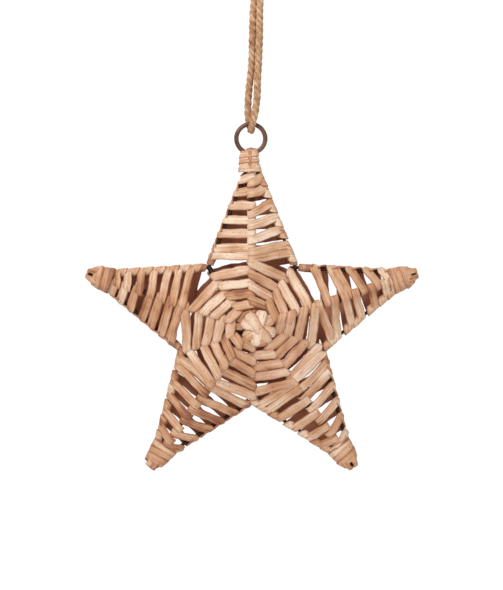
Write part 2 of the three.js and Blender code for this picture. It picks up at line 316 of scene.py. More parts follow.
# The sweep: a ring of points round each station, squared off, crowned, grooved and crinkled
def makeSweepTree(sizes):
    group = bpy.data.node_groups.new("sweepStrips", "GeometryNodeTree")
    kinds = {"Lines": "Geometry", "Finish": "Material", "Points Around": "Int"}
    for name in ("Squareness", "Crown", "Groove Depth", "Grooves", "Crinkle", "Unevenness", "Seed"):
        kinds[name] = "Float"
    for name, kind in kinds.items():
        group.interface.new_socket(name, in_out="INPUT", socket_type="NodeSocket" + kind)
    group.interface.new_socket("Mesh", in_out="OUTPUT", socket_type="NodeSocketGeometry")
    tree = Tree(group)
    entry = tree.node("NodeGroupInput").socket.node
    given = {name: Wire(tree, entry.outputs[name]) for name in kinds}

    def named(name, kind="FLOAT_VECTOR"):
        return tree.node("GeometryNodeInputNamedAttribute", {"data_type": kind}, {"Name": name})

    def stored(geometry, name, value, kind):
        settings = {"data_type": kind, "domain": "POINT"}
        values = {"Geometry": geometry, "Name": name, "Value": value}
        return tree.node("GeometryNodeStoreNamedAttribute", settings, values)

    def noiseAlong(place):
        return tree.node("ShaderNodeTexNoise", {"noise_dimensions": "3D"}, {"Vector": place, "Scale": 1.0})

    def pushed(start, direction, amount):
        step = tree.node("ShaderNodeVectorMath", {"operation": "SCALE"}, [direction, amount])
        return tree.node("ShaderNodeVectorMath", {"operation": "ADD"}, [start, step])

    position = tree.node("GeometryNodeInputPosition")
    marked = stored(given["Lines"], "middle", position, "FLOAT_VECTOR")
    curves = tree.node("GeometryNodeMeshToCurve", {}, {"Mesh": marked})
    circle = tree.node("GeometryNodeCurvePrimitiveCircle", {}, {"Resolution": given["Points Around"]})
    factor = tree.node("GeometryNodeSplineParameter")
    profile = stored(circle, "around", factor * (2 * math.pi), "FLOAT")
    swept = tree.node("GeometryNodeCurveToMesh", {}, {
        "Curve": curves, "Profile Curve": profile, "Fill Caps": True,
    })

    # Each point of the ring takes its place in the strip's section
    around = named("around", "FLOAT")
    cosine, sine = around.cosine(), around.sine()
    wide = cosine.sign() * cosine.size() ** given["Squareness"]
    high = sine.sign() * sine.size() ** given["Crown"]
    halfWidth, halfThickness = tree.parts(named("shape"))[:2]
    run, tone, age = tree.parts(named("grain"))
    beside = wide * halfWidth
    grooves = (wide * given["Grooves"] * math.pi + tone * sizes["grooveShift"]).cosine()
    onTop = sine.isOver(0.05)
    place = tree.join(
        run * sizes["along"], beside * (sizes["across"] / mm), tone * sizes["shift"] + given["Seed"],
    )
    noise = noiseAlong(place)
    drift = noiseAlong(tree.join(run * sizes["driftAlong"], tone * sizes["driftShift"], given["Seed"]))
    rise = high * halfThickness - onTop * given["Groove Depth"] * (grooves + 1)
    rise = rise + (noise - 0.5) * given["Crinkle"]
    uneven = beside * ((noise - 0.5) * given["Unevenness"] + 1)
    sway = uneven + (drift - 0.5) * given["Crinkle"] * sizes["driftShare"]
    moved = pushed(pushed(named("middle"), named("across"), sway), named("upward"), rise)
    shaped = tree.node("GeometryNodeSetPosition", {}, {"Geometry": swept, "Position": moved})

    # The materials read these: fibre in millimetres, and a second attribute with the inner side, nearness
    # to an edge and age. The inner side and the nearness to an edge are masks for painted shade on the
    # wicker.
    shaped = stored(shaped, "fibre", tree.join(run, beside * (1 / mm), tone), "FLOAT_VECTOR")
    # Marks the section's lower side, the face turned into the star, which the wicker darkens as painted
    # shade
    inner = (0.1 - sine).isOver(0)
    shaped = stored(shaped, "skin", tree.join(inner, wide.size(), age), "FLOAT_VECTOR")
    shaded = tree.node("GeometryNodeSetShadeSmooth", {}, {"Geometry": shaped, "Shade Smooth": True})
    real = tree.node("GeometryNodeRealizeInstances", {}, {"Geometry": shaded})
    finished = tree.node("GeometryNodeSetMaterial", {}, {"Geometry": real, "Material": given["Finish"]})
    tree.node("NodeGroupOutput", {}, [finished])
    return group


sweepTree = makeSweepTree(sweepNoise)


def setInput(modifier, name, value):
    sockets = modifier.node_group.interface.items_tree
    socket = next(one for one in sockets if one.name == name and one.in_out == "INPUT")
    modifier[socket.identifier] = value


# Turns a bundle into a finished plain mesh object, which takes the place of a node of the solids
def sweep(name, bundle, inputs, slot, node):
    lines = bpy.data.objects.new(name + "Lines", bundle.lines(name + "Lines"))
    bpy.context.scene.collection.objects.link(lines)
    modifier = lines.modifiers.new("sweep", "NODES")
    modifier.node_group = sweepTree
    for key, value in inputs.items():
        setInput(modifier, key, value)
    setInput(modifier, "Finish", finishes[slot])
    bpy.context.view_layer.update()
    evaluated = lines.evaluated_get(bpy.context.evaluated_depsgraph_get())
    mesh = bpy.data.meshes.new_from_object(evaluated)
    mesh.name = name
    bpy.data.objects.remove(lines)
    piece = bpy.data.objects.new(name, mesh)
    bpy.context.scene.collection.objects.link(piece)
    turnOut(mesh)
    for key in ("across", "upward", "shape", "grain", "middle", "around"):
        if key in mesh.attributes:
            mesh.attributes.remove(mesh.attributes[key])
    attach(piece, "root")
    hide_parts(node)
    return piece


# Makes all faces point outwards
def turnOut(mesh):
    work = bmesh.new()
    work.from_mesh(mesh)
    bmesh.ops.recalc_face_normals(work, faces=work.faces)
    work.to_mesh(mesh)
    work.free()


# Colours are written as on a screen and turned into the shader's own scale
def colour(text):
    parts = [int(text[place:place + 2], 16) / 255 for place in (1, 3, 5)]
    parts = [part / 12.92 if part <= 0.04045 else ((part + 0.055) / 1.055) ** 2.4 for part in parts]
    return (*parts, 1)


def grey(level):
    return (level, level, level, 1)


def newMaterial(name, settings):
    material = bpy.data.materials.new(name)
    material.use_nodes = True
    shader = material.node_tree.nodes["Principled BSDF"]
    for key, value in settings.items():
        shader.inputs[key].default_value = value
    return material, Tree(material.node_tree), shader


def mixed(tree, share, first, second):
    values = {"Factor": share, "A": first, "B": second}
    return tree.node("ShaderNodeMix", {"data_type": "RGBA"}, values, 2)


def attributeParts(tree, name):
    return tree.parts(tree.node("ShaderNodeAttribute", {"attribute_name": name}, out="Vector"))


def noiseAt(tree, place, scale=1.0, detail=2.0, roughness=0.5):
    values = {"Vector": place, "Scale": scale, "Detail": detail, "Roughness": roughness}
    return tree.node("ShaderNodeTexNoise", {"noise_dimensions": "3D"}, values)


def ramp(tree, value, stops):
    return tree.node("ShaderNodeValToRGB", {"stops": stops}, [value])


def addBump(tree, shader, height, distance):
    bump = tree.node("ShaderNodeBump", {}, {"Distance": distance * mm, "Height": height})
    tree.feed(shader.inputs["Normal"], bump)


wickerLook = {
    "pale": "#f0d9c0",
    "tan": "#d9b090",
    "golden": "#c38e66",
    "russet": "#8c4f33",
    "pink": "#dba98d",
    # Painted shade: the colours of the inner faces, darker and redder as if in the star's shadow
    "innerShade": "#d18c6b",
    "innerShadeDark": "#a06043",
    "paleness": 2.0,
    "ageing": 0.55,  # how much darker a strip of age 1 is
    "pinkness": 0.15,
    "spotStrength": 0.6,
    # How strongly painted shade darkens the strips towards their edges
    "edgeShadeStrength": 0.75,
    "roughness": 0.6,
    "fibreBump": 0.2,
}


# Each noise is stretched along the strip, because the run's number is the smaller one
def makeWicker(name, look):
    material, tree, shader = newMaterial(name, {"Specular IOR Level": 0.35})
    run, beside, tone = attributeParts(tree, "fibre")
    inner, edge, age = attributeParts(tree, "skin")
    fibres = noiseAt(tree, tree.join(run * 0.05, beside * 3.4, tone * 37), 1.0, 3.0, 0.6)
    streaks = noiseAt(tree, tree.join(run * 0.025, beside * 0.9, tone * 91))
    broad = noiseAt(tree, tree.join(run * 0.09, beside * 0.12, tone * 53), 1.0, 1.0)
    spots = noiseAt(tree, tree.join(run * 0.5, beside * 0.8, tone * 17))
    slow = noiseAt(tree, tree.join(run * 0.028, beside * 0.05, tone * 29), 1.0, 0.0)
    base = fibres * 1.15 + streaks * 0.9 + broad * 0.9 + slow * 1.2 + tone * 0.4
    body = ramp(tree, base + age * look["ageing"] - look["paleness"], [
        (0.08, colour(look["pale"])),
        (0.42, colour(look["tan"])),
        (0.76, colour(look["golden"])),
        (1.0, colour(look["russet"])),
    ])
    pinkShare = ((tone * 57).sine() + slow * 2) * look["pinkness"]
    body = mixed(tree, pinkShare, body, colour(look["pink"]))
    spotMask = ramp(tree, spots, [(0.62, grey(0)), (0.7, grey(0.8))])
    body = mixed(tree, spotMask * look["spotStrength"], body, colour(look["russet"]))
    # Painted shade: russet darkening towards each strip's edges, as if shadowed where the strips meet
    edgeShadeMask = ramp(tree, edge, [(0.72, grey(0)), (1.0, grey(1))])
    body = mixed(tree, edgeShadeMask * look["edgeShadeStrength"], body, colour(look["russet"]))
    # Painted shade on the inner faces: darker and redder, as if in the shadow inside the star
    innerShade = mixed(tree, fibres, colour(look["innerShadeDark"]), colour(look["innerShade"]))
    tree.feed(shader.inputs["Base Color"], mixed(tree, inner, body, innerShade))
    tree.feed(shader.inputs["Roughness"], fibres * 0.25 + (look["roughness"] - 0.12))
    addBump(tree, shader, fibres * 0.7 + streaks * 0.6, look["fibreBump"])
    return material


ironLooks = {
    "blackIron": {"dark": "#15110f", "light": "#3a2c24", "roughness": 0.55, "bump": 0.05},
    "bronzedIron": {"dark": "#48312a", "light": "#8f6852", "roughness": 0.5, "bump": 0.08},
}
ironGrain = {"fine": 0.9, "broad": 0.16}  # how many changes of tone to a millimetre


def makeIron(name, look):
    material, tree, shader = newMaterial(name, {"Specular IOR Level": 0.5})
    place = tree.node("ShaderNodeTexCoord", out="Object")
    fine = noiseAt(tree, place, ironGrain["fine"] / mm, 4.0)
    broad = noiseAt(tree, place, ironGrain["broad"] / mm)
    share = (fine * 0.6 + broad * 0.7 - 0.2).clamped()
    tree.feed(shader.inputs["Base Color"], mixed(tree, share, colour(look["dark"]), colour(look["light"])))
    tree.feed(shader.inputs["Roughness"], fine * 0.3 + (look["roughness"] - 0.15))
    tree.feed(shader.inputs["Metallic"], (0.9 - broad * 0.8).clamped())
    addBump(tree, shader, fine + broad, look["bump"])
    return material


juteLook = {"dark": "#7b4a30", "middle": "#bb8c66", "light": "#e6c6a2", "roughness": 0.85, "bump": 0.3}


def makeJute(name, look):
    settings = {"Specular IOR Level": 0.2, "Sheen Weight": 0.15, "Roughness": look["roughness"]}
    material, tree, shader = newMaterial(name, settings)
    run, beside, tone = attributeParts(tree, "fibre")
    fibres = noiseAt(tree, tree.join(run * 0.35, beside * 7.0, tone * 37), 1.0, 4.0, 0.65)
    broad = noiseAt(tree, tree.join(run * 0.25, beside * 0.5, tone * 11))
    body = ramp(tree, fibres * 1.3 + broad * 0.7 - 0.5, [
        (0.2, colour(look["dark"])),
        (0.45, colour(look["middle"])),
        (0.8, colour(look["light"])),
    ])
    tree.feed(shader.inputs["Base Color"], body)
    addBump(tree, shader, fibres + broad * 0.4, look["bump"])
    return material


finishes = {
    "wicker": makeWicker("wicker", wickerLook),
    "black_iron": makeIron("blackIron", ironLooks["blackIron"]),
    "bronzed_iron": makeIron("bronzedIron", ironLooks["bronzedIron"]),
    "jute": makeJute("jute", juteLook),
}
print("materials made")


# Where a point of an arm lies in the world: x is to its right, seen in front with the arm upwards,
# y goes back and along is the distance from the star's centre
def armPlacing(angle):
    turn = angle * degree
    outward = Vector((math.cos(turn), 0, math.sin(turn)))
    right = Vector((math.sin(turn), 0, -math.cos(turn)))

    def direction(x, y, along):
        return right * x + Vector((0, y, 0)) + outward * along

    def place(x, y, along):
        return starCentre + direction(x, y, along)

    return place, direction


# A point of the outline's plane, from the star's centre
def flatSpot(angle, radius):
    return Vector((radius * math.cos(angle * degree), 0, radius * math.sin(angle * degree)))


# How far a face stands from the outline's plane
def faceDepth(x, z):
    reach = math.hypot(x, z)
    sector = 72 * degree
    fromArm = (math.atan2(z, x) - math.pi / 2 + sector / 2) % sector - sector / 2
    along = reach * math.cos(fromArm)
    across = reach * abs(math.sin(fromArm))
    return starSizes["halfDepth"] - depthSlope * (along + across / edgeSlope)


frameSizes = {
    "overrun": 0.3,  # how far each wire runs on into the ones that it is welded to
    "weldRadius": 1.55,
    "weldEndRadius": 1.1,
    "weldPlaces": (-0.9, 0.6, 2.2),  # from an inner corner towards the star's centre
}

roundSection = {"Squareness": 1.0, "Crown": 1.0, "Seed": 1.0}


# Wire frame: outline, spokes and welds
def makeFrame(sizes):
    bundle = Bundle(11)
    reaches = [wireTip, starSizes["cornerRadius"]] * 5
    rim = [starCentre + flatSpot(90 + 36 * index, reach) for index, reach in enumerate(reaches)]
    depth = starSizes["halfDepth"]
    apexes = [starCentre + Vector((0, side * depth, 0)) for side in (-1, 1)]

    def rod(start, end):
        along = (end - start).normalized()
        across = along.orthogonal().normalized()
        ends = [start - along * sizes["overrun"], end + along * sizes["overrun"]]
        bundle.add([station(one, across, wireRadius, starSizes["wire"]) for one in ends], step=8)

    def weld(corner):
        inward = (starCentre - corner).normalized()
        radius = sizes["weldRadius"]
        spots = [corner + inward * place for place in sizes["weldPlaces"]]
        rows = [station(spot, Vector((0, 1, 0)), radius, 2 * radius) for spot in spots]
        rows[0]["halfWidth"] = rows[2]["halfWidth"] = sizes["weldEndRadius"]
        bundle.add(rows, step=0.6)

    for index, point in enumerate(rim):
        if index % 2:
            weld(point)
        rod(point, rim[(index + 1) % 10])
        for apex in apexes:
            rod(apex, point)
    sweep("wireFrame", bundle, {"Points Around": 12, **roundSection}, "black_iron", "wire_frame")


def makeRing():
    bundle = Bundle(12)
    centre = starCentre + Vector((starSizes["ringShift"], 0, ringCentre))
    wire = starSizes["ringWire"]
    pieces = 96
    rows = []
    for index in range(pieces + 1):
        outward = flatSpot(-90 + 360 * index / pieces, 1)
        rows.append(station(centre + outward * ringRadius, outward, wire / 2, wire))
    bundle.add(rows, step=1)
    inputs = {"Points Around": 18, "Crinkle": 0.1 * mm, **roundSection}
    sweep("hangingRing", bundle, inputs, "bronzed_iron", "hanging_ring")


wrapSizes = {
    "halfWidth": 2.9,
    "loopHalfWidth": 2.55,
    "thickness": 1.25,
    "gap": 1.85,  # from a wire's centre to the middle of the strip
    "swell": 0.75,  # how much further out the strip lies after going once round a ridge wire
    "edgeSwell": 0.5,  # the same at the right outline wire
    "edgeStep": 3.8,  # how far it moves on while it goes round the right outline wire
    "backLead": 4.4,  # how much further out it reaches the left outline wire from behind
    "lastLead": 4,  # how much further in it goes behind after the last turn
    "stationTurn": 30,  # degrees from station to station round a wire
    "climbFade": 0.45,  # the share of the way round a wire that keeps the slope of the faces
}

# The strip's ends, coiled round the outline wires at an arm's root
coilSizes = {
    "stations": 24,
    "turns": 2.2,
    "halfWidth": 2.3,
    "lift": 0.2,
    "fromLastTurn": 0.8,
    "toCorner": 3.2,
    "extraAge": 0.7,
}

# Each turn crosses the ridge twice, at the first and then the second number of pixels from the
# star's centre. The leans, left and right, say how much further out it meets the outline wires.
# Age darkens the strip, and tipAge the winding over the tip. RootWidth widens the last turn, and
# widths are the shares of the full width on the left and the right face. TipGap parts the straps
# over the tip, tipPinch narrows them and tipTilt turns the last coils across.
armTurns = {
    "wrap_top_arm": {
        "angle": 90, "age": 0.35, "tipAge": 0.35, "rootWidth": 0.2, "widths": (1, 1),
        "tipPinch": 0.05, "tipGap": 0, "tipTilt": 0,
        "turns": [(150, 144), (136, 133), (121, 113), (106, 101), (93, 87), (79, 75), (71, 68)],
        "left": [-3, -2, 0, 1, 0, -1, 1],
        "right": [6, 6, 11, 9, 11, 7, 6],
    },
    "wrap_right_arm": {
        "angle": 18, "age": 0.55, "tipAge": 0.65, "rootWidth": 0.5, "widths": (0.9, 0.9),
        "tipPinch": 0.08, "tipGap": 0.9, "tipTilt": 0.5,
        "turns": [(153, 148), (145, 139), (133, 125), (117, 108), (102, 97), (97, 86), (79, 70)],
        "left": [-3, -4, -6, -6, -5, -4, -1],
        "right": [0, -1, -1, -1, -1, -8, 2],
    },
    "wrap_lower_right_arm": {
        "angle": 306, "age": 0.5, "tipAge": 0.55, "rootWidth": 0.3, "widths": (0.88, 0.97),
        "tipPinch": 0.09, "tipGap": 1.8, "tipTilt": 0.5,
        "turns": [(153, 148), (146, 138), (132, 124), (115, 107), (101, 91), (88, 77), (78, 70)],
        "left": [-3, -5, -7, -5, -6, -6, -4],
        "right": [0, -1, -1, 0, -1, 0, -2],
    },
    "wrap_lower_left_arm": {
        "angle": 234, "age": 0.95, "tipAge": 0.75, "rootWidth": 0.3, "widths": (0.87, 0.85),
        "tipPinch": 0.03, "tipGap": 0.1, "tipTilt": -0.1,
        "turns": [(153, 150), (146, 139), (131, 124), (115, 109), (101, 95), (88, 80), (72, 70)],
        "left": [-3, -5, -7, -7, -6, -8, -5],
        "right": [-1, -5, -5, -5, -4, -5, -3],
    },
    "wrap_left_arm": {
        "angle": 162, "age": 0.65, "tipAge": 0.95, "rootWidth": 0.9, "widths": (0.97, 0.83),
        "tipPinch": 0.1, "tipGap": 1.5, "tipTilt": 0.55,
        "turns": [(144, 142), (133, 131), (121, 118), (106, 106), (96, 94), (85, 83), (74, 73)],
        "left": [0, 0, 0, 1, 0, -1, 0],
        "right": [4, 4, 4, 4, 3, 4, 3],
    },
}

# The close winding over an arm's end and the straps on it. The outline's rows hold a distance from
# the star's centre, the half width and the half depth there. A strap has its place beside the
# middle, its half width, how much further out it lies and its tone. The paths hold the depth and
# the distance, and the band's rows the place beside the middle, the distance and the half width.
ringSummit = ringCentre - ringRadius + starSizes["ringWire"] / 2 + 1.0

ringedTip = {
    "outline": [(88, 8.6, 5.6), (93, 7.6, 4.9), (96, 6.3, 4.3), (101, 5.9, 4.0), (108, 5.5, 3.4)],
    "low": 94.9,
    "high": 105.6,
    "coils": 3.8,
    "halfWidth": 2.3,
    "taper": 0,
    "sideways": -1.7,
    "straps": [(1.2, 2.2, -0.7, 0.5), (-2.6, 2.5, 0.1, 0.6)],
    "strapPath": [(2.0, 94), (2.5, 97), (2.3, 102), (2.6, ringSummit - 1.8), (1.8, ringSummit - 0.4)],
    "summit": ringSummit,
    "behindShare": 1,
    "ridgeStrip": [(4.2, 92.5), (4.35, 94), (4.1, 97), (3.85, 101), (3.5, 104.5), (2.6, 106.2)],
    "ridgePlace": -1.3,
    "ridgeHalfWidth": 1.05,
    "ridgeThickness": 0.8,
}

plainTip = {
    "outline": [
        (88, 8.1, 5.6), (91, 7.6, 5.2), (96, 6.8, 4.6), (99, 6.2, 4.1), (101, 5.2, 3.6), (104, 3.2, 2.4),
    ],
    "low": 91.6,
    "high": 100.1,
    "coils": 2.9,
    "halfWidth": 3.3,
    "taper": 0.6,
    "sideways": 0,
    "straps": [(-1.9, 1.9, -0.2, 0.6), (1.9, 1.9, -0.4, 0.4)],
    "strapPath": [(3.2, 95), (3.3, 98.5), (2.7, 101.5), (1.5, 103.4)],
    "summit": 104.3,
    "behindShare": 0.55,  # behind, the straps close up
    "band": [(4.6, 96, 2.6), (4.3, 99, 2.6), (3.6, 101.3, 2.4), (2.2, 103, 2.1)],
    "bandMiddle": (0, 103.7, 2.0),
}


def alongShape(shape, along):
    for first, second in zip(shape, shape[1:]):
        if along <= second[0]:
            share = max((along - first[0]) / (second[0] - first[0]), 0)
            return blend(first[1], second[1], share), blend(first[2], second[2], share)
    return shape[-1][1], shape[-1][2]


# Where a wire of an arm runs: side is -1, 0 or 1 for left, ridge and right, and depth is -1 for
# the front, 0 for the outline and 1 for the back
def armCorner(side, depth, along):
    toTip = max(wireTip - along, 0)
    return side * edgeSlope * toTip, depth * depthSlope * toTip


# Lays strips on one arm, in the arm's own measures
class Winder(Bundle):
    def __init__(self, arm, seed):
        super().__init__(seed)
        self.arm = arm
        self.place, self.direction = armPlacing(arm["angle"])

    def put(self, x, y, along, halfWidth, across=None, thickness=wrapSizes["thickness"]):
        if across is None:
            toTip = max(wireTip - along, 12)
            across = self.direction(-x / toTip, -y / toTip, 1)
        self.rows.append(station(self.place(x, y, along), across, halfWidth, thickness))

    # Round one wire of the frame, from one direction to another. The climbs carry the slope of
    # the strip on the faces before and after a little way round the wire.
    def goRound(self, side, depth, start, end, first, second, halfWidth, swell=0.0, climbs=(0, 0)):
        gap, fade = wrapSizes["gap"], wrapSizes["climbFade"]
        count = max(3, round((end - start) / (wrapSizes["stationTurn"] * degree)) + 1)
        for index in range(count):
            share = index / (count - 1)
            turn = blend(start, end, share)
            along = blend(first, second, min(max((share - 0.25) / 0.5, 0), 1))
            along += climbs[0] * gap * (turn - start) * max(1 - share / fade, 0)
            along -= climbs[1] * gap * (end - turn) * max(1 - (1 - share) / fade, 0)
            x, y = armCorner(side, depth, along)
            away = gap + swell * share
            self.put(x + math.sin(turn) * away, y - math.cos(turn) * away, along, halfWidth)

    # A station on a face, at a share of the way from the outline wire to the ridge
    def crossFacet(self, side, depth, along, share, lift=0.0):
        x, y = armCorner(side, depth, along)
        away = wrapSizes["gap"] + lift
        outX, outY = side * math.sin(facetTilt), depth * math.cos(facetTilt)
        halfWidth = wrapSizes["halfWidth"] * self.arm["widths"][side > 0]
        halfWidth += self.random.uniform(-0.15, 0.2)
        self.put(x * (1 - share) + outX * away, y * share + outY * away, along, halfWidth)


# Winds the strip round the arm, from the tip to the root
def windTurns(winder):
    sizes, arm, chance = wrapSizes, winder.arm, winder.random
    goRound, crossFacet = winder.goRound, winder.crossFacet
    pixel = photo["mmPerPixel"]
    turns = [(over * pixel, under * pixel) for over, under in arm["turns"]]
    lefts = [over + lean * pixel for (over, under), lean in zip(turns, arm["left"])]
    rights = [under + lean * pixel for (over, under), lean in zip(turns, arm["right"])]
    behind = math.pi - facetTilt
    narrow = sizes["loopHalfWidth"]
    for index, (over, under) in enumerate(turns):
        isLast = index + 1 == len(turns)
        left, right = lefts[index], rights[index]
        halfWidth = sizes["halfWidth"] + chance.uniform(-0.2, 0.15)
        if isLast:
            halfWidth += arm["rootWidth"]
        breadth = edgeSlope * (wireTip - right)
        leftClimb, rightClimb = (over - left) / breadth, (right - under) / breadth

        # Round the left outline wire and up the left face in front
        if index == 0:
            crossFacet(-1, 1, left + 3, 0.5, -0.3)
        behindLeft = left + (sizes["backLead"] if index else 0)
        goRound(-1, 0, -behind, -facetTilt, behindLeft, left, halfWidth, 0, (0, leftClimb))
        crossFacet(-1, -1, blend(left, over, 0.4), 0.35, chance.uniform(0, 0.35))
        crossFacet(-1, -1, blend(left, over, 0.75), 0.7, chance.uniform(0, 0.25))

        # Once round the ridge wire and down the right face, then once round the right outline wire
        climbs = (leftClimb * 0.5, rightClimb)
        full = 2 * math.pi
        goRound(0, -1, -facetTilt, full + facetTilt, over, under, narrow, sizes["swell"], climbs)
        crossFacet(1, -1, blend(under, right, 0.35), 0.65, 0.3)
        crossFacet(1, -1, blend(under, right, 0.7), 0.35, chance.uniform(0, 0.35))
        after = right - sizes["edgeStep"]
        climbs = (rightClimb, 0)
        goRound(1, 0, facetTilt, full + behind, right, after, narrow, sizes["edgeSwell"], climbs)

        # Across the two faces behind
        following = after - sizes["lastLead"] if isLast else lefts[index + 1] + sizes["backLead"]
        middle = blend(after, following, 0.5)
        crossFacet(1, 1, blend(after, middle, 0.5), 0.5, chance.uniform(0, 0.3))
        goRound(0, 1, behind, math.pi + facetTilt, middle, middle, sizes["halfWidth"])
        if not isLast:
            crossFacet(-1, 1, blend(middle, following, 0.5), 0.5, chance.uniform(0, 0.3))
    winder.close(0.3, arm["age"])
    coilEnd(winder, -1, lefts[-1])
    coilEnd(winder, 1, rights[-1] - sizes["edgeStep"])


def coilEnd(winder, side, start):
    sizes = coilSizes
    pieces = sizes["stations"] - 1
    away = wrapSizes["gap"] + sizes["lift"]
    slope = winder.direction(-side * edgeSlope, 0, 1)
    for index in range(sizes["stations"]):
        along = blend(start + sizes["fromLastTurn"], cornerAlong + sizes["toCorner"], index / pieces)
        x, y = armCorner(side, 0, along)
        turn = index * 2 * math.pi * sizes["turns"] / pieces
        x += math.sin(turn) * away
        winder.put(x, y - math.cos(turn) * away, along, sizes["halfWidth"], slope)
    winder.close(0.45, winder.arm["age"] + sizes["extraAge"])


# Winds the strip closely over the arm's end
def windTip(winder, tip):
    coils = tip["coils"]
    steps = round(coils * 14)
    level = 0.75 / coils  # the first three quarters of a coil don't climb
    for index in range(steps + 1):
        along = blend(tip["low"], tip["high"], max(index / steps - level, 0) / (1 - level))
        turn = -math.pi * 0.6 + 2 * math.pi * coils * index / steps
        halfX, halfY = alongShape(tip["outline"], along)
        squash = abs(math.sin(turn)) ** 0.8 * math.copysign(1, math.sin(turn))
        x = tip["sideways"] * min(max((along - 92) / 4, 0), 1) + (halfX - 0.5) * squash
        y = -(halfY - 0.5) * math.cos(turn)
        nearTip = max((along - 96) / 5, 0)
        tilt = 0.24 + winder.arm["tipTilt"] * nearTip
        across = winder.direction(-math.sin(turn) * tilt, math.cos(turn) * tilt, 1)
        winder.put(x, y, along, tip["halfWidth"] - tip["taper"] * nearTip, across)
    winder.close(0.5, winder.arm["tipAge"])


# Lays straps over the tip from face to face, with their ends under the winding. A strip stands on
# the ridge of the arm that holds the ring, and a band from edge to edge closes the other tips.
def strapTip(winder, tip):
    arm = winder.arm
    sideOn = winder.direction(-1, 0, 0)
    for shift, halfWidth, lift, tone in tip["straps"]:
        shift += math.copysign(arm["tipGap"] / 2, shift)
        front = [(-y, along + lift) for y, along in tip["strapPath"]]
        back = [(y, along + lift) for y, along in reversed(tip["strapPath"])]
        for y, along in [*front, (0, tip["summit"] + lift), *back]:
            pinch = 1 - arm["tipPinch"] * max(along - 100, 0)
            nearer = tip["behindShare"] if y > 0 else 1
            winder.put(shift * pinch * nearer, y, along, halfWidth * pinch, sideOn)
        winder.close(tone, arm["tipAge"])
    if "ridgeStrip" in tip:
        for y, along in tip["ridgeStrip"]:
            halfWidth, thickness = tip["ridgeHalfWidth"], tip["ridgeThickness"]
            winder.put(tip["ridgePlace"], -y, along, halfWidth, sideOn, thickness)
        winder.close(0.2, arm["age"] + 0.4)
    else:
        rising = [(-x, along, halfWidth) for x, along, halfWidth in tip["band"]]
        for x, along, halfWidth in [*rising, tip["bandMiddle"], *reversed(tip["band"])]:
            winder.put(x, 0.2, along, halfWidth, winder.direction(0, 1, 0))
        winder.close(0.5, arm["tipAge"])


stripSection = {"Points Around": 20, "Groove Depth": 0.05 * mm}


def makeWrap(name, arm, seed):
    winder = Winder(arm, seed)
    tip = ringedTip if arm["angle"] == 90 else plainTip
    windTurns(winder)
    windTip(winder, tip)
    strapTip(winder, tip)
    inputs = {"Squareness": 0.5, "Crown": 0.7, "Seed": float(seed), **stripSection}
    inputs.update({"Grooves": 3.0, "Crinkle": 0.3 * mm, "Unevenness": 0.3})
    sweep(name, winder, inputs, "wicker", name)


weaveSizes = {
    "start": 11.8,  # where the first round begins, from the star's centre
    "pitch": 6.8,  # how much further out each round lies
    "spread": 1.8,  # the strip comes in this much nearer the centre and goes on further out
    "jitter": 0.45,  # how far a plank's ends may be out of place
    "halfWidth": 3.1,
    "loopHalfWidth": 2.85,
    "thickness": 1.5,
    "gap": 1.9,
    "reach": 2.5,  # how far a plank runs on past the spoke at its ends
    "slant": 0.3,
    "outermost": 41.0,
    "latePitch": 0.22,  # the last round spreads this much more at each crossing
    "earlyPitch": 0.15,  # the first round is drawn in this much more at each crossing
    "beginningRadius": 8.3,
    "beginningShift": 0.6,
    "beginningHalfWidth": 2.7,
    "strapHalfWidth": 3.75,
    "strapThickness": 0.9,
    "strapStep": 0.24,  # how much higher each strap lies than the one below
    "strapBulge": 0.4,
    "strapDrop": 1.3,  # how far a strap's ends go down
    "strapPinch": 0.2,  # how much narrower a strap is where it crosses the others
    "strapTaper": 0.35,
}

# Crossings are counted from the first spoke, which is itself counted clockwise from the top, and
# before is how many planks come before it. Straps holds the headings of the crossed straps, reach
# is half their length and shift the place where they cross. The strip's bent beginning runs from
# one angle to another. Extras are further planks, each from one angle and radius to another.
weavings = {
    "weave_front": {
        "side": -1, "before": 2, "crossings": 44, "firstSpoke": 5, "straps": [35, 160, 78, 126],
        "shift": (3.9, 0, -0.5), "reach": 10.4, "beginning": (190, -110), "wider": 0,
        "extras": [((338, 44.5), (304, 41.0))],
    },
    "weave_back": {
        "side": 1, "before": 4, "crossings": 42, "firstSpoke": 2, "straps": [20, 62, 105, 150],
        "shift": (0, 0, 0), "reach": 10.6, "beginning": (200, -160), "wider": 0.35,
        "extras": [],
    },
}


# Lays strips on one face, with places given from the star's centre
class Weaver(Bundle):
    def __init__(self, weave, seed):
        super().__init__(seed)
        self.weave = weave
        self.side = weave["side"]

    def put(self, spot, rise, halfWidth, slant=0.0):
        depth = faceDepth(spot.x, spot.z) + rise
        middle = Vector((spot.x, self.side * depth, spot.z))
        across = Vector((spot.x, self.side * (depth - starSizes["halfDepth"] - rise), spot.z))
        across = across * -self.side
        thickness = weaveSizes["thickness"]
        self.rows.append(station(starCentre + middle, across, halfWidth, thickness, slant))


# Each plank goes from spoke to spoke, and starts further out than the last one ends
def findPlanks(weave, chance):
    sizes = weaveSizes
    jitter = sizes["jitter"]

    def crossing(index):
        early = max(6 - index, 0) * sizes["earlyPitch"]
        late = max(index - 32, 0) * sizes["latePitch"]
        return sizes["start"] + sizes["pitch"] * index / 10 - early + late

    def spokePoint(index, radius):
        return flatSpot(90 - 36 * (weave["firstSpoke"] + index), radius)

    planks = [(40, flatSpot(*first), flatSpot(*second)) for first, second in weave["extras"]]
    for index in range(-weave["before"], weave["crossings"] - 1):
        spread = sizes["spread"] * min(1, max(0.3, 0.4 + index / 15))
        outer = crossing(index) + spread + chance.uniform(-jitter, jitter)
        start = spokePoint(index, min(outer, sizes["outermost"]))
        end = spokePoint(index + 1, crossing(index + 1) - spread + chance.uniform(-jitter, jitter))
        planks.append((index, start, end))
    return planks


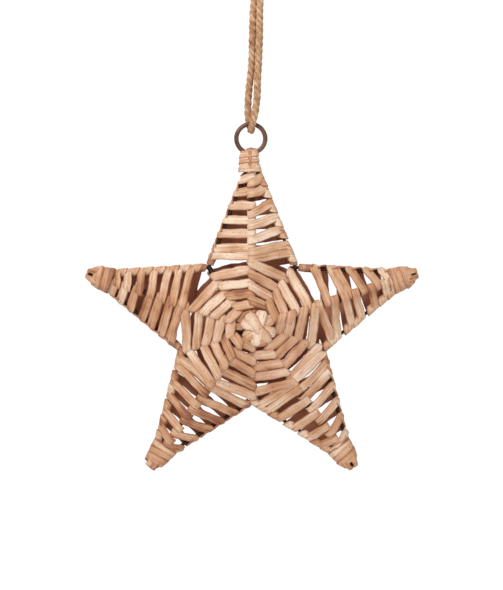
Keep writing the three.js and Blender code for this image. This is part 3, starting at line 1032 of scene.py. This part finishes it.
# A plank comes up over the end of the last one and goes down under the start of the next
def layPlank(weaver, index, start, end):
    sizes, chance, put = weaveSizes, weaver.random, weaver.put
    gap = sizes["gap"]
    along = (end - start).normalized()
    span = (end - start).length
    reach = sizes["reach"] * min(1, span / 9)
    slant = weaver.side * sizes["slant"] * chance.uniform(0.6, 1.3)
    wide = sizes["halfWidth"] + weaver.weave["wider"] + chance.uniform(-0.35, 0.2)
    narrow = sizes["loopHalfWidth"]
    bow = chance.uniform(0.1, 0.6)
    put(start - along * (reach + 0.3), -0.2, narrow * 0.45, slant)
    put(start - along * reach * 0.8, gap + 0.45, narrow * 0.74, slant)
    put(start - along * reach * 0.45, gap + 0.9, narrow, slant * 0.9)
    put(start.lerp(end, 0.12), gap + 1.0, narrow * 1.02, slant * 0.6)
    put(start.lerp(end, 0.35), gap + 0.5 + bow * 0.6, wide)
    put(start.lerp(end, 0.6), gap + 0.2 + bow * 0.6, wide)
    put(start.lerp(end, 0.85), gap - 0.1, narrow, slant * 0.6)
    put(end, gap - 0.5, narrow * 0.94, slant)
    put(end + along * reach * 0.6, gap - 0.9, narrow * 0.8, slant)
    put(end + along * (reach + 0.3), -0.6, narrow * 0.6, slant)
    golden = 0.75 - 0.5 * min(max(index, 0) / 30, 1)
    weaver.close(None, golden + chance.uniform(-0.2, 0.2))


# Crossed straps over the middle, pinched where they cross
def layStraps(weaver):
    sizes, weave, side = weaveSizes, weaver.weave, weaver.side
    for index, angle in enumerate(weave["straps"]):
        heading = flatSpot(angle, 1)
        across = Vector((0, side, 0)).cross(heading)
        for share in (-1.0, -0.93, -0.8, -0.5, -0.25, 0, 0.25, 0.5, 0.8, 0.93, 1.0):
            spot = Vector(weave["shift"]) + heading * weave["reach"] * share
            ridge = starSizes["halfDepth"] - depthSlope * spot.length
            edge = max(abs(share) - 0.7, 0) / 0.3
            rise = sizes["gap"] + 0.1 + index * sizes["strapStep"] + sizes["strapBulge"] * (1 - abs(share))
            spot.y = side * (ridge + rise - sizes["strapDrop"] * edge * edge)
            pinched = 1 - sizes["strapPinch"] * (1 - min(abs(share) / 0.7, 1))
            halfWidth = sizes["strapHalfWidth"] * pinched * (1 - sizes["strapTaper"] * edge * edge)
            weaver.rows.append(station(starCentre + spot, across, halfWidth, sizes["strapThickness"]))
        weaver.close(0.3 + 0.01 * index, 0.62, 40 + 3 * index)


def makeWeave(name, weave, seed):
    sizes = weaveSizes
    weaver = Weaver(weave, seed)
    for index, start, end in findPlanks(weave, weaver.random):
        layPlank(weaver, index, start, end)

    # The strip's beginning, bent round below the straps
    for angle in range(*weave["beginning"], -20):
        spot = flatSpot(angle, sizes["beginningRadius"]) + Vector((sizes["beginningShift"], 0, 0))
        weaver.put(spot, sizes["gap"] - 1.2, sizes["beginningHalfWidth"])
    weaver.close(None, 0.9)
    layStraps(weaver)

    inputs = {"Squareness": 0.6, "Crown": 0.8, "Seed": float(seed), **stripSection}
    inputs.update({"Grooves": 2.0, "Crinkle": 0.35 * mm, "Unevenness": 0.35})
    sweep(name, weaver, inputs, "wicker", name)


cordSizes = {
    "diameter": 3.5,
    "plyOffset": 1.12,
    "plyRadius": 1.15,
    "layLength": 12.0,  # one full turn of the plies
    "hairs": 70,
    "hairRadius": 0.07,  # half of a hair's thickness at its root
    "seed": 5,
}

cordRoute = [
    (1.9, 0, 5.2), (2.8, 0, 0.5), (2.3, -0.1, -3.5), (1, -0.5, -8.5), (0.6, -0.8, -16),
    (0.5, -0.9, -24), (0.4, -1, -33), (0, -1, -43), (-0.4, -1.2, -52), (-0.8, -1.5, -60),
    (-1.1, -2, -68), (-1.9, -2.9, -75), (-3, -3.6, -80), (-3.8, -3.7, -83.4), (-4.2, -2.6, -86),
    (-4.5, 0, -87.1), (-4.9, 2.6, -86), (-5.4, 3.7, -83.4), (-6.1, 3.5, -79), (-6.4, 2.6, -74),
    (-6.2, 2, -68), (-5.6, 1.7, -60), (-4.6, 1.6, -52), (-4, 1.3, -43), (-3.8, 1, -33),
    (-3.6, 0.9, -24), (-3.3, 0.8, -16), (-2.6, 0.5, -8.5), (-2.6, 0.1, -3.5), (-2.8, 0, 0.5),
    (-1.9, 0, 5.2),
]

knotSizes = {
    "bottom": 5.5,
    "height": 8.5,
    "diameter": 9.5,
    "entry": [(1.9, 0, 6.4), (2.3, 0.9, 7.4)],  # how the right strand comes in
    "points": 13,
    "firstTurn": 40,
    "turnStep": 32,
    "rise": 4.2,
    "wave": 0.9,  # how far each turn goes up and down
    "flatness": 0.85,
    "tailStart": 2.6,  # above the knot's middle
    "tailEnd": 19.6,
    "tailSpread": 24,
    "tailLength": 7.5,
    "hairs": 16,  # on each strand
}


# The cord's middle line through the points of a route
def routePoints(route, step):
    stations = [station(Vector(one), Vector((0, 1, 0)), 1, 1) for one in route]
    return [one["middle"] for one in smoothed(stations, step)]


# Adds the plies of a twisted cord along a route, and loose hairs
def twist(bundle, route, sizes, hairs):
    points = routePoints(route, 0.45)
    side = Vector((0, 1, 0))
    run = 0.0
    frames = []
    for place, point in enumerate(points):
        before = points[max(place - 1, 0)]
        along = (points[min(place + 1, len(points) - 1)] - before).normalized()
        side = (side - along * side.dot(along)).normalized()
        run += (point - before).length
        frames.append((point, side, along.cross(side), run))
    offset, radius = sizes["plyOffset"], sizes["plyRadius"]
    for ply in range(3):
        rows = []
        for point, first, second, distance in frames:
            turn = 2 * math.pi * (ply / 3 - distance / sizes["layLength"])
            outward = first * math.cos(turn) + second * math.sin(turn)
            rows.append(station(point + outward * offset, outward, radius, radius * 2))
        bundle.add(rows, step=0.7)
    for index in range(hairs):
        addHair(bundle, frames, sizes["hairRadius"])


def addHair(bundle, frames, radius):
    chance = bundle.random
    point, first, second, distance = chance.choice(frames[4:-8])
    turn = chance.uniform(0, 2 * math.pi)
    outward = first * math.cos(turn) + second * math.sin(turn)
    sideways = first * math.sin(turn) - second * math.cos(turn)
    along = first.cross(second) * chance.choice((-1, 1))
    length = chance.uniform(1.5, 4.0)
    lift = chance.uniform(0.4, 1.3)
    curl = chance.uniform(-1.0, 1.0)
    start = point + outward * 1.6
    rows = []
    for share in (0, 0.35, 0.7, 1.0):
        spot = start + along * length * share + outward * lift * share ** 1.5
        spot += sideways * curl * share * share
        thin = 1.15 - share
        rows.append(station(spot, sideways, radius * thin, 2 * radius * thin))
    bundle.add(rows)


# One strand of the knot: it comes in, goes round and leaves as a tail. The other strand is the
# same, turned half way round.
def knotRoute(sizes, side):
    middle = sizes["bottom"] + sizes["height"] / 2
    reach = sizes["diameter"] / 2 - cordSizes["diameter"] / 2
    route = [(side * x, side * y, z) for x, y, z in sizes["entry"]]
    last = sizes["points"] - 1
    for index in range(sizes["points"]):
        turn = (sizes["firstTurn"] + index * sizes["turnStep"]) * degree
        x = side * reach * math.cos(turn)
        y = side * reach * sizes["flatness"] * math.sin(turn)
        z = middle + sizes["rise"] * (index / last - 0.5) + side * sizes["wave"] * math.cos(turn)
        route.append((x, y, z))
    spread = sizes["tailLength"] * math.sin(sizes["tailSpread"] * degree)
    for share in (0.35, 0.7, 1.0):
        z = blend(middle + sizes["tailStart"], sizes["tailEnd"], share)
        route.append((side * spread * share, side * 0.6 * (1 - share), z))
    return route


def makeCord():
    inputs = {"Points Around": 10, "Crinkle": 0.12 * mm, **roundSection}
    bundle = Bundle(cordSizes["seed"])
    twist(bundle, cordRoute, cordSizes, cordSizes["hairs"])
    piece = sweep("hangingCord", bundle, inputs, "jute", "hanging_cord")

    lump = Bundle(cordSizes["seed"] + 1)
    for side in (1, -1):
        twist(lump, knotRoute(knotSizes, side), cordSizes, knotSizes["hairs"])
    knot = sweep("cordKnot", lump, inputs, "jute", "cord_knot")

    points = routePoints(cordRoute, 0.5)
    length = sum((after - before).length for before, after in zip(points, points[1:])) * mm
    print("cord length", round(length / mm, 1), "mm")


makeCord()
makeFrame(frameSizes)
makeRing()
print("cord, frame and ring made")
for number, (name, arm) in enumerate(armTurns.items()):
    makeWrap(name, arm, 21 + number)
print("wraps made")
for number, (name, weave) in enumerate(weavings.items()):
    makeWeave(name, weave, 81 + number)
print("weaves made")


surroundings = {
    "ambient": 0.38,  # light from all round
    "backdrop": 0.66,  # added where the camera sees the world, which makes it white
    "floorRadius": 1100,
    "floorHeight": -560,
}

# Each light's place, size, power and tint
lights = {
    "key": ((-420, -760, 420), 520, 7.8, (1.0, 0.98, 0.95)),
    "fill": ((620, -600, -100), 600, 1.7, (0.96, 0.98, 1.0)),
    "back": ((-360, 760, 380), 560, 4.2, (1.0, 0.99, 0.97)),
}


# White surroundings, soft light from above and the left, a weak fill and a light for the back
def makeSurroundings(sizes):
    world = bpy.data.worlds.new("white")
    bpy.context.scene.world = world
    world.use_nodes = True
    tree = Tree(world.node_tree)
    background = world.node_tree.nodes["Background"]
    seen = tree.node("ShaderNodeLightPath", out="Is Camera Ray")
    tree.feed(background.inputs["Strength"], seen * sizes["backdrop"] + sizes["ambient"])
    background.inputs["Color"].default_value = grey(1)
    bpy.context.scene.view_settings.view_transform = "Standard"

    for name, (place, size, power, tint) in lights.items():
        data = bpy.data.lights.new(name, "AREA")
        data.size = size * mm
        data.energy = power
        data.color = tint
        light = bpy.data.objects.new(name, data)
        bpy.context.scene.collection.objects.link(light)
        light.location = Vector(place) * mm
        towards = starCentre * mm - light.location
        light.rotation_euler = towards.to_track_quat("-Z", "Y").to_euler()

    disc = bpy.data.meshes.new("floor")
    middle = Vector((0, 0, sizes["floorHeight"]))
    rim = [(middle + flatSpot(angle, sizes["floorRadius"]).xzy) * mm for angle in range(0, 360, 5)]
    disc.from_pydata(rim, [], [list(range(len(rim)))])
    disc.materials.append(newMaterial("floorWhite", {"Base Color": grey(0.9), "Roughness": 0.9})[0])
    floor = bpy.data.objects.new("floor", disc)
    bpy.context.scene.collection.objects.link(floor)


makeSurroundings(surroundings)
